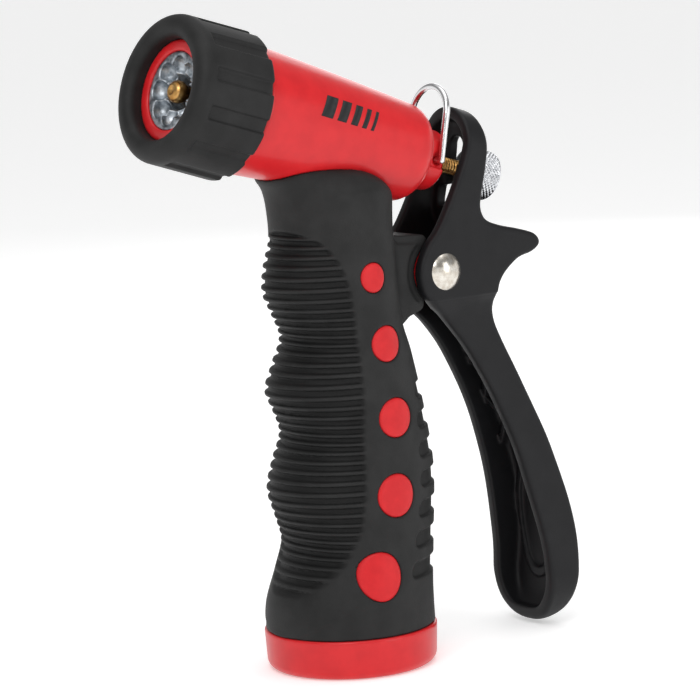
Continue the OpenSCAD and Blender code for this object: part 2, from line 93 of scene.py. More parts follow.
# Side views: the collar around the lug, and the sleeve's top edge against the barrel
COLLAR = [(4, 67.5), (12.2, 70), (14, 71.4), (17, 72.4), (18.4, 85), (12.6, 85.4), (4, 87)]
COLLAR_HALF, COLLAR_GAP_R = 6.0, 7.9
SADDLE = [
    (-24, 100.9), (-17.5, 100.7), (-14.5, 101.4), (-12, 102.5), (-8.7, 103), (-5.4, 102.8),
    (-0.3, 101.8), (4, 100.2), (8, 98), (12, 95.4), (16, 92.6),
]

# Side views of the lever: its outside, and the inner face of its back wall
LEVER_OUTLINE = [
    (31.2, 113), (30.6, 108), (29.8, 102.9), (26.7, 96), (22, 88), (18.3, 83.8), (16.3, 79.2), (17.2, 74.6),
    (20.2, 71.6), (23.2, 69.3), (26.6, 65.5), (30.8, 59.6), (36, 50), (40.2, 39.5), (43, 29), (45.2, 17.8),
    (45.6, 10), (45.8, 4.4), (46.8, 0.9), (49.4, 0.8), (52, 4), (53.5, 11), (53.8, 19), (52.6, 28),
    (49.9, 37.2), (46.9, 45.2), (42.5, 54.8), (38.9, 62.2), (36.8, 67), (36.1, 71.2), (37.3, 75.6),
    (41.6, 79.2),
    (45.8, 80.4), (47.7, 81.9), (46.6, 83.8), (42.5, 85.2), (37.4, 86.5), (33.8, 88.1), (32.5, 90.8),
    (33.1, 94.3), (34.2, 98.6), (35, 103), (35.2, 107), (34.8, 113),
]
TROUGH_FACE = [
    (32.8, 113), (33, 107), (32.8, 103), (32, 98.6), (30.9, 94.3), (30.3, 90.8), (31.2, 87.2), (33, 84),
    (34, 80.8), (33.8, 76.5), (33.8, 71.6), (34.6, 66.2), (37, 60.4), (40.2, 53.6), (44.4, 44.9),
    (47.9, 36.6), (50.4, 27.4), (51.3, 19), (51, 12), (50, 6.6), (48.2, 3.6),
]
# [height, half width] of the lever above its round bottom end
LEVER_SIDE = [
    (11.4, 10), (20, 9.3), (31, 7.9), (40, 7.2), (47.5, 6.4), (56, 5.9), (64, 5.5), (68, 5.6),
    (70.8, 6.5), (72.8, 7.7), (74.6, 8), (90, 8),
]
BULB_Z, BULB_HALF, BULB_H = 11.4, 10.0, 11.0
ARCH_U, ARCH_FROM_Z = 3.9, 88  # the arch's centre above the barrel's axis, and its lowest height
SLOT_HALF, SLOT_TOP_Z, SLOT_STEP_Z, WINDOW_HALF, WINDOW_Z = 2.1, 105.2, 95.0, 3.9, 90.8


# ---- curves and fields ----

def smooth_point(a, b, c, d, t):
    """Point at t between b and c on the smooth curve through four points."""
    a, b, c, d = (np.asarray(p, float) for p in (a, b, c, d))
    return 0.5 * (2 * b + (c - a) * t + (2 * a - 5 * b + 4 * c - d) * t**2 + (3 * b - a - 3 * c + d) * t**3)


def curve(points, steps, closed=False):
    """Smooth curve through the points, with that many steps between each two."""
    k = len(points)
    pick = (lambda i: points[i % k]) if closed else (lambda i: points[min(max(i, 0), k - 1)])
    out = [smooth_point(pick(i - 1), pick(i), pick(i + 1), pick(i + 2), j / steps)
           for i in range(k if closed else k - 1) for j in range(steps)]
    return np.array(out if closed else out + [np.asarray(points[-1], float)])


def along(line):
    """Smooth function of height through a line of [height, value]."""
    table = curve(line, 12)
    return lambda z: np.interp(z, table[:, 0], table[:, 1])


def join(a, b, r):
    """Union of two fields with a fillet of about r."""
    h = np.maximum(r - np.abs(a - b), 0) / r
    return np.minimum(a, b) - h * h * r / 4


def common(a, b, r):
    """Intersection of two fields with an edge rounding of about r."""
    return -join(-a, -b, r)


def carve(a, b, r):
    """Field a without b, with rounded edges."""
    return common(a, -b, r)


def outline(points):
    """Signed distance from a closed outline, as a function of two coordinates."""
    ring = np.asarray(points, float)

    def field(u, v):
        u, v = np.broadcast_arrays(u, v)
        best = np.full(u.shape, 1e9)
        inside = np.zeros(u.shape, bool)
        for (au, av), (bu, bv) in zip(ring, np.roll(ring, -1, axis=0)):
            du, dv = bu - au, bv - av
            t = np.clip(((u - au) * du + (v - av) * dv) / (du * du + dv * dv + 1e-12), 0, 1)
            best = np.minimum(best, (u - au - t * du) ** 2 + (v - av - t * dv) ** 2)
            if av != bv:
                crosses = (av > v) != (bv > v)
                inside ^= crosses & (u < au + (v - av) * du / dv)
        best = np.sqrt(best)
        return np.where(inside, -best, best)

    return field


def slab(value, low, high):
    """Field of the space where value is between low and high."""
    return np.abs(value - (low + high) / 2) - (high - low) / 2


def rod(a, b, r):
    """Field of an endless rod of radius r, from two coordinates across it."""
    return np.hypot(a, b) - r


def barrel_axes(x, y, z):
    """(distance along the barrel, height above its axis, radius from its axis)."""
    s = -x * math.cos(TILT) + (z - BARREL_Z) * math.sin(TILT)
    u = x * math.sin(TILT) + (z - BARREL_Z) * math.cos(TILT)
    return s, u, np.hypot(u, y)


def barrel_point(s, u, y):
    """A point given along and above the barrel's axis, in the frame's axes."""
    return np.array([-s * math.cos(TILT) + u * math.sin(TILT), y,
                     BARREL_Z + s * math.sin(TILT) + u * math.cos(TILT)])


def step_up(value, edge, soft):
    """0 below edge - soft, 1 above edge + soft, smooth between."""
    t = np.clip((value - edge + soft) / (2 * soft), 0, 1)
    return t * t * (3 - 2 * t)


def rounded_end(across, lengthwise, r):
    """Field of the corner between two faces, rounded by an arc of radius r."""
    outside = np.hypot(np.maximum(across + r, 0), np.maximum(lengthwise + r, 0))
    return np.minimum(np.maximum(across, lengthwise), -r) + outside


def barrel_radius(s):
    """Radius of the barrel's cone, which bulges a little between its ends."""
    t = (s - BARREL_REAR_S - BARREL_EDGE) / (BUMPER_REAR_S - 1 - BARREL_REAR_S - BARREL_EDGE)
    bulge = BARREL_BULGE * np.clip(t, 0, 1) * (1 - np.clip(t, 0, 1))
    return BARREL_REAR_R + (BARREL_FRONT_R - BARREL_REAR_R) * t + bulge


def barrel_outer(s, r, extra=0.0):
    """Field of the barrel without its neck and nose steps."""
    return rounded_end(r - barrel_radius(s) - extra, BARREL_REAR_S - s, BARREL_EDGE)


def core_radius(z):
    """Radius of the grip's core under the rubber, with its bell over the hose socket."""
    return np.clip(BELL_R - (z - BELL_TOP), CORE_R, BELL_R)


def from_pivot(x, z):
    """Distance from the lever's pivot, seen from the side."""
    return np.hypot(x - PIVOT_X, z - PIVOT_Z)


def surface(field, low, high, step):
    """Closed mesh (points, quads) of the zero surface of a field in a box.

    It has one point for each cell that the skin crosses, moved onto the skin.
    """
    axes = [np.arange(a, b + step, step) for a, b in zip(low, high)]
    grid = np.broadcast_to(
        field(axes[0][:, None, None], axes[1][None, :, None], axes[2][None, None, :]),
        tuple(len(a) for a in axes)).astype(np.float32)
    inside = grid < 0
    cells = tuple(n - 1 for n in grid.shape)
    total = np.zeros(cells + (3,), np.float32)
    count = np.zeros(cells, np.float32)

    def part(array, offset):
        return array[tuple(slice(o, o + n) for o, n in zip(offset, cells))]

    for axis in range(3):
        others = [k for k in range(3) if k != axis]
        for p in (0, 1):
            for q in (0, 1):
                start = [0, 0, 0]
                start[others[0]], start[others[1]] = p, q
                end = list(start)
                end[axis] = 1
                a, b = part(grid, start), part(grid, end)
                crossed = part(inside, start) != part(inside, end)
                t = np.where(crossed, a / np.where(crossed, a - b, 1), 0)
                for k in range(3):
                    total[..., k] += np.where(crossed, t if k == axis else start[k], 0)
                count += crossed
    active = count > 0
    index = np.full(cells, -1, np.int64)
    index[active] = np.arange(active.sum())
    where = np.argwhere(active)
    points = (where + total[active] / count[active][:, None]) * step + np.array([a[0] for a in axes])
    faces = []
    for axis in range(3):
        b, c = [(1, 2), (2, 0), (0, 1)][axis]
        shape = list(grid.shape)
        low_edge = [slice(None)] * 3
        low_edge[axis] = slice(0, shape[axis] - 1)
        high_edge = list(low_edge)
        high_edge[axis] = slice(1, shape[axis])
        crossed = inside[tuple(low_edge)] != inside[tuple(high_edge)]
        for k in (b, c):
            for end in (0, -1):
                trim = [slice(None)] * 3
                trim[k] = end
                crossed[tuple(trim)] = False
        at = np.argwhere(crossed)
        step_b, step_c = np.eye(3, dtype=int)[b], np.eye(3, dtype=int)[c]
        corners = [at - step_b - step_c, at - step_c, at, at - step_b]
        quad = np.stack([index[tuple(k.T)] for k in corners], axis=1)
        outward = inside[tuple(low_edge)][tuple(at.T)]
        faces.append(np.where(outward[:, None], quad, quad[:, ::-1]))
    faces = np.concatenate(faces)
    reach = 0.02
    for _ in range(3):
        value = field(*points.T)
        slope = np.stack([
            field(*(points + reach * e).T) - field(*(points - reach * e).T) for e in np.eye(3)
        ], axis=1) / (2 * reach)
        size = np.maximum((slope**2).sum(1), 0.05)
        move = -(value / size)[:, None] * slope
        length = np.linalg.norm(move, axis=1, keepdims=True)
        points = points + move * np.minimum(1, 0.5 * step / np.maximum(length, 1e-9))
    return points, faces


def lathe(profile, steps, wave):
    """Mesh of a profile of (s, radius) turned about the barrel's axis, plus wave(s, angles)."""
    profile = np.asarray(profile, float)
    angles = np.arange(steps) * 2 * math.pi / steps
    points = []
    for s, r in profile:
        radius = r + wave(s, angles)
        points += [barrel_point(s, k * math.cos(a), k * math.sin(a)) for k, a in zip(radius, angles)]
    last = (len(profile) - 1) * steps
    faces = []
    for base in range(0, last, steps):
        for i in range(steps):
            j = (i + 1) % steps
            faces.append((base + i, base + j, base + steps + j, base + steps + i))
    faces += [tuple(reversed(range(steps))), tuple(last + i for i in range(steps))]
    return np.array(points), faces


def mesh_object(name, points, faces, material):
    """Smooth-shaded object from points in millimetres."""
    mesh = bpy.data.meshes.new(name)
    points = np.asarray(points, float) * MM
    if isinstance(faces, np.ndarray):
        mesh.vertices.add(len(points))
        mesh.vertices.foreach_set("co", points.ravel())
        mesh.loops.add(faces.size)
        mesh.loops.foreach_set("vertex_index", faces.ravel())
        mesh.polygons.add(len(faces))
        mesh.polygons.foreach_set("loop_start", np.arange(len(faces)) * faces.shape[1])
        mesh.update(calc_edges=True)
    else:
        mesh.from_pydata([tuple(p) for p in points], [], [tuple(int(i) for i in f) for f in faces])
    mesh.validate()
    mesh.shade_smooth()
    obj = bpy.data.objects.new(name, mesh)
    bpy.context.scene.collection.objects.link(obj)
    mesh.materials.append(material)
    return obj


def merged(*parts):
    """Several (points, faces) pairs as one."""
    points, faces, base = [], [], 0
    for p, f in parts:
        points.append(np.asarray(p, float))
        faces += [tuple(int(i) + base for i in face) for face in f]
        base += len(p)
    return np.concatenate(points), faces


# ---- materials ----

def new_material(name, color, metallic=0.0, roughness=0.5, **sockets):
    """Principled material with constants on its own sockets."""
    mat = bpy.data.materials.new("look_" + name)
    mat.use_nodes = True
    shader = mat.node_tree.nodes["Principled BSDF"]
    shader.inputs["Base Color"].default_value = (*color, 1)
    shader.inputs["Metallic"].default_value = metallic
    shader.inputs["Roughness"].default_value = roughness
    for key, value in sockets.items():
        shader.inputs[key.replace("_", " ")].default_value = value
    return mat


def noise_node(mat, scale, detail):
    """Noise over the object's own coordinates."""
    nodes, links = mat.node_tree.nodes, mat.node_tree.links
    place = nodes.new("ShaderNodeTexCoord")
    noise = nodes.new("ShaderNodeTexNoise")
    noise.inputs["Scale"].default_value = scale
    noise.inputs["Detail"].default_value = detail
    links.new(place.outputs["Object"], noise.inputs["Vector"])
    return noise


def link_noise(mat, scale, detail, socket, low, high):
    """Drives a shader socket between two values or colours by noise over the object."""
    nodes, links = mat.node_tree.nodes, mat.node_tree.links
    noise = noise_node(mat, scale, detail)
    ramp = nodes.new("ShaderNodeValToRGB")
    ends = [(v, v, v, 1) if isinstance(v, (int, float)) else (*v, 1) for v in (low, high)]
    ramp.color_ramp.elements[0].color, ramp.color_ramp.elements[1].color = ends
    ramp.color_ramp.elements[0].position, ramp.color_ramp.elements[1].position = 0.35, 0.65
    links.new(noise.outputs["Fac"], ramp.inputs["Fac"])
    links.new(ramp.outputs["Color"], nodes["Principled BSDF"].inputs[socket])


def link_bump(mat, scale, distance, strength, detail):
    """Adds fine surface relief."""
    nodes, links = mat.node_tree.nodes, mat.node_tree.links
    bump = nodes.new("ShaderNodeBump")
    bump.inputs["Strength"].default_value = strength
    bump.inputs["Distance"].default_value = distance
    links.new(noise_node(mat, scale, detail).outputs["Fac"], bump.inputs["Height"])
    links.new(bump.outputs["Normal"], nodes["Principled BSDF"].inputs["Normal"])


def link_shade(mat, attribute, multiply):
    """Paints shade into the base colour: darkens it where a mesh attribute is 1."""
    nodes, links = mat.node_tree.nodes, mat.node_tree.links
    color = nodes["Principled BSDF"].inputs["Base Color"]
    before = color.links[0].from_socket
    source = nodes.new("ShaderNodeAttribute")
    source.attribute_name = attribute
    mix = nodes.new("ShaderNodeMix")
    mix.data_type, mix.blend_type = "RGBA", "MULTIPLY"
    mix.inputs["B"].default_value = (*multiply, 1)
    links.new(source.outputs["Fac"], mix.inputs["Factor"])
    links.new(before, mix.inputs["A"])
    links.new(mix.outputs["Result"], color)


def make_materials():
    """The look of each material slot, by the slot's name, and the printed mark's."""
    red = new_material("red_paint", (0.57, 0.010, 0.014), roughness=0.34, Specular_IOR_Level=0.3,
                       Coat_Weight=0.15, Coat_Roughness=0.12)
    link_noise(red, 260, 3, "Base Color", (0.55, 0.010, 0.014), (0.61, 0.013, 0.017))
    link_bump(red, 700, 0.00006, 0.2, 2)
    plug = new_material("red_plastic", (0.56, 0.012, 0.016), roughness=0.46, Specular_IOR_Level=0.26)
    link_noise(plug, 420, 3, "Base Color", (0.54, 0.011, 0.015), (0.60, 0.014, 0.018))
    link_bump(plug, 1600, 0.00004, 0.3, 2)
    rubber = new_material("grip_rubber", (0.014, 0.014, 0.015), roughness=0.6, Specular_IOR_Level=0.26)
    link_noise(rubber, 190, 5, "Base Color", (0.010, 0.010, 0.010), (0.016, 0.016, 0.016))
    # painted shade: the rubber's colour is darkened to 0.3 in its grooves and notches
    link_shade(rubber, "groove", (0.30, 0.30, 0.30))
    link_bump(rubber, 2600, 0.00006, 0.5, 4)
    seal = new_material("seal_rubber", (0.012, 0.012, 0.012), roughness=0.5)
    link_noise(seal, 400, 3, "Roughness", 0.42, 0.6)
    black = new_material("lever_black", (0.008, 0.008, 0.009), roughness=0.5, Specular_IOR_Level=0.22)
    link_noise(black, 240, 4, "Roughness", 0.46, 0.56)
    link_bump(black, 3200, 0.00005, 0.45, 3)
    nickel = new_material("nickel", (0.66, 0.62, 0.55), 1.0, 0.22)
    link_noise(nickel, 900, 4, "Base Color", (0.56, 0.51, 0.44), (0.74, 0.71, 0.65))
    link_bump(nickel, 1500, 0.00004, 0.35, 3)
    steel = new_material("spring_steel", (0.74, 0.74, 0.75), 1.0, 0.16)
    link_noise(steel, 1200, 3, "Roughness", 0.12, 0.24)
    chrome = new_material("knob_chrome", (0.62, 0.63, 0.65), 1.0, 0.2)
    link_noise(chrome, 1500, 3, "Base Color", (0.42, 0.43, 0.45), (0.76, 0.77, 0.79))
    zinc = new_material("zinc", (0.40, 0.43, 0.46), 1.0, 0.42)
    link_noise(zinc, 560, 5, "Base Color", (0.13, 0.15, 0.17), (0.56, 0.60, 0.64))
    link_bump(zinc, 900, 0.00022, 0.8, 4)
    brass = new_material("brass", (0.50, 0.28, 0.09), 1.0, 0.28)
    link_noise(brass, 800, 4, "Base Color", (0.34, 0.16, 0.04), (0.62, 0.37, 0.13))
    link_bump(brass, 1600, 0.00005, 0.3, 3)
    nylon = new_material("nylon", (0.72, 0.68, 0.56), roughness=0.45)
    link_noise(nylon, 500, 3, "Base Color", (0.68, 0.64, 0.52), (0.76, 0.72, 0.61))
    ink = new_material("black_print", (0.012, 0.012, 0.013), roughness=0.5, Specular_IOR_Level=0.3)
    link_noise(ink, 800, 3, "Roughness", 0.45, 0.55)
    made = (red, plug, rubber, seal, black, nickel, steel, chrome, zinc, brass, nylon, ink)
    return {m.name.removeprefix("look_"): m for m in made}


MATERIALS = make_materials()
SLOTS = {part["node"]: part["material_slot"] for part in frame["record"]["subparts"]}
for node, obj in frame["nodes"].items():
    obj.data.materials.clear()
    obj.data.materials.append(MATERIALS[SLOTS[node]])

# the bail's wire is drawn a little thicker than its CAD node
BAIL_SWELL = 0.09
swell = frame["nodes"]["bail"].modifiers.new("swell", "DISPLACE")
swell.strength, swell.mid_level = BAIL_SWELL * MM, 0.0


def place_piece(name, mesh, slot, body, *nodes):
    """Adds a finished piece that rides on a body and stands for CAD nodes."""
    obj = mesh_object(name, *mesh, MATERIALS[slot])
    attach(obj, body)
    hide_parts(*nodes)
    return obj


def welded(obj):
    """Merges points that share a place."""
    weld = obj.modifiers.new("weld", "WELD")
    weld.merge_threshold = 0.000004


# ---- grip sleeve ----

front_at, rear_at, side_at = along(FRONT_LINE), along(REAR_LINE), along(SIDE_LINE)
collar_side = outline(COLLAR)
saddle = curve(SADDLE, 6)
lug_side = outline([(4, 73), (PIVOT_X, PIVOT_Z - LUG_R), (PIVOT_X, PIVOT_Z + LUG_R), (4, 86)])

# grooves across the front, which spread a little over each finger's bulge
RIB_PITCH, RIB_FIRST_Z, RIB_COUNT, RIB_DEPTH = 1.961, 16.85, 38, 0.78
FINGER_PITCH, FINGER_Z, FINGER_SPREAD = 21.36, 79.9, 0.415
# [height, distance behind the axis] where the front ribs end on each side
RIB_END = [
    (16, -16), (18.6, -13), (20.8, -10.9), (24.4, -8.2), (29, -6.4), (34, -5.6), (40, -4.9),
    (50, -4.2), (62, -3.8), (70, -4.1), (76, -4.7), (81, -5.6), (85, -7.3), (88, -9.4), (90, -12.5),
]
rib_end_at = along(RIB_END)
NOTCH_FIRST_Z, NOTCH_PITCH, NOTCH_HALF, NOTCH_DEPTH, NOTCH_COUNT = 20.3, 5.9, 1.6, 0.65, 7
# [height, distance behind the axis] where the rear notches begin on each side
NOTCH_START = [
    (17, 3.6), (20.3, 4.5), (25.4, 6.1), (31, 7.8), (36.5, 9.3), (42.5, 9.7), (48.4, 10.1),
    (56, 10.8),
]
notch_start_at = along(NOTCH_START)
SLEEVE_TOP_Z, BELL_END_Z, PLUG_GAP = 104, 30, 0.08
# shallow step, arched along its top edge, above the base ring
PANEL_DEPTH, PANEL_X, PANEL_TOP_Z, PANEL_CURVE = 0.22, -3, 15.3, 0.034
# lower step of the collar, around the lever's arms
STEP_GAP_R, STEP_RISE, STEP_MARGIN = 6.2, 0.5, 1.5


def rib_phase(z):
    """Whole numbers at the middle of each front groove."""
    spread = FINGER_SPREAD * np.sin(2 * math.pi * (z - FINGER_Z) / FINGER_PITCH)
    return (z - RIB_FIRST_Z - spread) / RIB_PITCH


def groove_depth(x, z):
    """Depth of the front's grooves, from 0 on a rib to 1 in a groove."""
    phase = rib_phase(z)
    groove = step_up(0.5 + 0.5 * np.cos(2 * math.pi * phase), 0.36, 0.26)
    in_rows = step_up(phase, -0.5, 0.05) * step_up(-phase, 0.5 - RIB_COUNT, 0.05)
    return groove * in_rows * step_up(-x, -rib_end_at(z), 0.45)


def notch_depth(x, z):
    """Depth of the rear's notches, from 0 beside a notch to 1 in it."""
    number = np.clip(np.round((z - NOTCH_FIRST_Z) / NOTCH_PITCH), 0, NOTCH_COUNT - 1)
    off_middle = np.abs(z - number * NOTCH_PITCH - NOTCH_FIRST_Z)
    return step_up(-rounded_end(off_middle - NOTCH_HALF, notch_start_at(z) - x, NOTCH_HALF), 0, 0.3)


def grip_skin(x, y, z):
    """Field of the grip's rubber skin, with its grooves, its notches and the sunk panel at its foot."""
    reach = np.where(x > 0, rear_at(z), front_at(z))
    ratio = np.sqrt((x / reach) ** 2 + (y / side_at(z)) ** 2)
    smooth = (ratio - 1) * np.hypot(x, y) / np.maximum(ratio, 1e-6)
    below_panel_edge = PANEL_TOP_Z - PANEL_CURVE * (x - PANEL_X) ** 2 - z
    sunk = RIB_DEPTH * groove_depth(x, z) + NOTCH_DEPTH * notch_depth(x, z)
    return smooth + sunk + PANEL_DEPTH * step_up(below_panel_edge, 0, 0.35)


def grip_field(x, y, z):
    pivot_r = from_pivot(x, z)
    collar = np.maximum(collar_side(x, z), COLLAR_GAP_R - pivot_r)
    skin = join(grip_skin(x, y, z), common(collar, np.abs(y) - COLLAR_HALF, 1.0), 1.6)
    step = np.maximum(collar_side(x, z) - STEP_MARGIN, STEP_GAP_R - pivot_r)
    skin = join(skin, common(step, np.abs(y) - LUG_HALF - STEP_RISE, 0.3), 0.3)
    skin = common(skin, z - np.interp(x, saddle[:, 0], saddle[:, 1]) - 0.3, 2.2)
    skin = common(skin, BASE_H - z, 0.5)
    skin = common(skin, z - SLEEVE_TOP_Z, 0.5)
    s, _, r = barrel_axes(x, y, z)
    skin = carve(skin, barrel_outer(s, r, SNUG), 0.25)
    bell = np.maximum(rod(x, y, core_radius(z) + SNUG), z - BELL_END_Z)
    skin = carve(skin, np.minimum(rod(x, y, CORE_R + SNUG), bell), 0.2)
    lug = np.minimum(lug_side(x, z), pivot_r - LUG_R) - SNUG
    skin = carve(skin, np.maximum(lug, np.abs(y) - LUG_HALF - SNUG), 0.3)
    for px, pz, half_x, half_z in PLUGS:
        hole = (np.hypot((x - px) / half_x, (z - pz) / half_z) - 1) * half_z - PLUG_GAP
        skin = carve(skin, hole, 0.35)
    return skin


def paint_groove_shade(obj):
    """Stores on each point how deep in a groove or notch it is, which paints shade into the rubber's colour
    there.
    """
    spots = np.empty(3 * len(obj.data.vertices))
    obj.data.vertices.foreach_get("co", spots)
    x, _, z = spots.reshape(-1, 3).T / MM
    shade = obj.data.attributes.new("groove", "FLOAT", "POINT")
    shade.data.foreach_set("value", np.maximum(groove_depth(x, z), notch_depth(x, z)))


sleeve_mesh = surface(grip_field, (-22.5, -18.6, 7.4), (21.5, 18.6, 105), 0.33)
# the sleeve's grooves and notches get painted shade in their colour
paint_groove_shade(place_piece("grip_rubber_sleeve", sleeve_mesh, "grip_rubber", "gun", "grip_sleeve"))


# ---- body casting ----

POCKET_U, POCKET_FLAT, FOOT_END_Y = -1.7, BAIL_HALF - WIRE_R - 0.35, 3.9
DIMPLE_R, DIMPLE_END_Y = 1.25, 4.55
THREAD_LEAD, THREAD_DEPTH = 2.209, 1.15
HOSE_WASHER_T, BASE_TAPER, BASE_SLOPE, BASE_EDGE = 2.6, 0.4, 0.05, 2.0
LUG_EXTRA = 0.5  # the lug's round end is drawn this much larger than in the CAD


def bail_pocket(s, u, y):
    """Field of the room beside the neck for the bail's legs, which leaves two flats."""
    pocket = common(slab(s, NECK_END_S - 2, BARREL_REAR_S), POCKET_U - u, 1.0)
    return common(pocket, POCKET_FLAT - np.abs(y), 0.3)


def valve_bore(s, r):
    """Field of the hollows along the barrel's axis."""
    insert = np.maximum(r - INSERT_R - SNUG, INSERT_REAR_S - s)
    chamber = np.maximum(r - CHAMBER_R, CHAMBER_END_S - s)
    gland = np.maximum(r - GLAND_R, s - GLAND_END_S)
    stem = np.maximum(r - STEM_R - 0.3, s)
    return np.minimum(np.minimum(insert, chamber), np.minimum(gland, stem))


def hose_bore(x, y, z):
    """Field of the threaded hose socket, its washer's seat and the passage above it."""
    phase = (z / THREAD_LEAD - np.arctan2(y, x) / (2 * math.pi)) % 1.0
    ridge = THREAD_DEPTH * np.clip(1.25 - np.abs(phase - 0.5) * 4.2, 0, 1)
    thread = SOCKET_R - ridge * step_up(z, 1.0, 0.8) * step_up(-z, -7.8, 0.6)
    socket = np.maximum(rod(x, y, thread), z - SOCKET_DEPTH)
    seat_top = SOCKET_DEPTH + HOSE_WASHER_T
    seat = np.maximum(rod(x, y, SOCKET_R + 0.3), slab(z, SOCKET_DEPTH - 0.1, seat_top))
    cone = np.clip(SOCKET_R - 1.4 - (z - seat_top) * 0.9, PASSAGE_R, SOCKET_R)
    passage = np.maximum(rod(x, y, cone), slab(z, SOCKET_DEPTH, BARREL_Z - 2))
    return np.minimum(np.minimum(socket, seat), passage)


def body_field(x, y, z):
    s, u, r = barrel_axes(x, y, z)
    nose = common(rod(u, y, NOSE_R), slab(s, 0, NOSE_S), 0.5)
    barrel = common(barrel_outer(s, r), s - (BUMPER_REAR_S - 0.4), 0.8)
    neck = common(rod(u, y, NECK_R), slab(s, NECK_END_S, -10), 0.8)
    shape = join(np.minimum(barrel, nose), neck, 1.2)
    core = np.maximum(rod(x, y, core_radius(z)), slab(z, BASE_H - 1, BARREL_Z - 4))
    lug = np.minimum(lug_side(x, z), from_pivot(x, z) - LUG_R - LUG_EXTRA)
    shape = join(np.minimum(shape, core), common(lug, np.abs(y) - LUG_HALF, 0.4), 0.5)
    ring = rod(x, y, BASE_R - BASE_TAPER + BASE_SLOPE * z)
    shape = np.minimum(shape, common(rounded_end(ring, -z, BASE_EDGE), z - BASE_H, 0.5))
    shape = carve(shape, bail_pocket(s, u, y), 0.4)
    foot = np.maximum(rod(s - BAIL_S, u, WIRE_R + 0.16), FOOT_END_Y - np.abs(y))
    shape = carve(shape, foot, 0.15)
    dimple = np.maximum(rod(s - BAIL_S - 0.25, u - 0.1, DIMPLE_R), DIMPLE_END_Y - np.abs(y))
    shape = carve(shape, dimple, 0.25)
    shape = carve(shape, valve_bore(s, r), 0.3)
    shape = carve(shape, hose_bore(x, y, z), 0.3)
    return carve(shape, from_pivot(x, z) - BUSH_R - SNUG, 0.2)


body_mesh = surface(body_field, (-42, -18.4, -0.8), (29, 18.4, 131.5), 0.42)
place_piece("body_casting", body_mesh, "red_paint", "gun", "body")


# ---- printed mark on the barrel's near side ----

MARK_ANGLE, MARK_LEAN = (61.0, 83.0), 1.6
MARK_LIFTS = (-0.15, 0.05)  # the ink's underside and top, measured from the paint
# [front, rear] of each bar's upper end along the barrel
MARK_BARS = [(9.4, 6.4), (5.2, 2.8), (1.6, -0.2), (-1.4, -2.6), (-3.8, -4.6)]


def print_bar(s0, s1):
    """Thin bar printed on the barrel, whose lower end is further forward than its upper end."""
    steps = 8
    points, faces = [], []
    for lift in MARK_LIFTS:
        for i in range(steps + 1):
            t = i / steps
            a = math.radians(MARK_ANGLE[0] + (MARK_ANGLE[1] - MARK_ANGLE[0]) * t)
            for s in (s0 + MARK_LEAN * t, s1 + MARK_LEAN * t):
                r = float(barrel_radius(s)) + lift
                points.append(barrel_point(s, r * math.cos(a), -r * math.sin(a)))
    layer = 2 * (steps + 1)
    for i in range(steps):
        a, b = 2 * i, 2 * i + 2
        faces += [(a, b, b + 1, a + 1), (layer + a, layer + a + 1, layer + b + 1, layer + b)]
        faces += [(a, layer + a, layer + b, b), (a + 1, b + 1, layer + b + 1, layer + a + 1)]
    last = 2 * steps
    faces += [(0, 1, layer + 1, layer), (last, layer + last, layer + last + 1, last + 1)]
    return points, faces


mark = merged(*[print_bar(*ends) for ends in MARK_BARS])
mark_obj = mesh_object("printed_mark", *mark, MATERIALS["black_print"])
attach(mark_obj, "gun")


# ---- plugs ----

PLUG_DOME, PLUG_EDGE_DROP, PLUG_EDGE_FROM, PLUG_WALL_STEP = 0.14, 0.22, 0.86, 0.9


def plug_mesh(px, pz, half_x, half_z, side):
    """Slightly domed disc that follows the grip's side, with a short wall behind its rounded rim."""
    rings, steps = 12, 56
    points, faces = [], []
    for k in range(rings + 4):
        rim = min(k, rings) / rings
        for i in range(steps):
            a = 2 * math.pi * i / steps
            x, z = px + half_x * rim * math.cos(a), pz + half_z * rim * math.sin(a)
            reach = float(rear_at(z) if x > 0 else front_at(z))
            skin = float(side_at(z)) * math.sqrt(max(0.0, 1 - (x / reach) ** 2))
            edge = max(0.0, (rim - PLUG_EDGE_FROM) / (1 - PLUG_EDGE_FROM))
            wall = PLUG_WALL_STEP * max(0, k - rings)
            y = skin + PLUG_DOME * (1 - rim**2) - PLUG_EDGE_DROP * edge**2 - wall
            points.append((x, side * y, z))
    for k in range(rings + 3):
        for i in range(steps):
            j = (i + 1) % steps
            quad = (k * steps + i, k * steps + j, (k + 1) * steps + j, (k + 1) * steps + i)
            faces.append(quad if side > 0 else quad[::-1])
    points[:steps] = [tuple(np.mean(points[:steps], axis=0))] * steps
    last = (rings + 3) * steps
    cap = tuple(last + i for i in range(steps))
    faces.append(cap if side < 0 else cap[::-1])
    return points, faces


plugs = [plug_mesh(*p, side) for p in PLUGS for side in (-1, 1)]
welded(place_piece("grip_red_plugs", merged(*plugs), "red_plastic", "gun", "grip_plugs"))


# ---- bumper ----

CHANNELS, CHANNEL_DEPTH, CHANNEL_HALF, CHANNEL_END_S = 12, 0.62, 0.18, 38.2
BUMPER_EDGE, BUMPER_REAR_EDGE, LIP_EDGE = 2.6, 0.8, 1.9
RECESS_WIDTH, RECESS_DEPTH = 1.5, 0.8  # in the rear face, around the nose


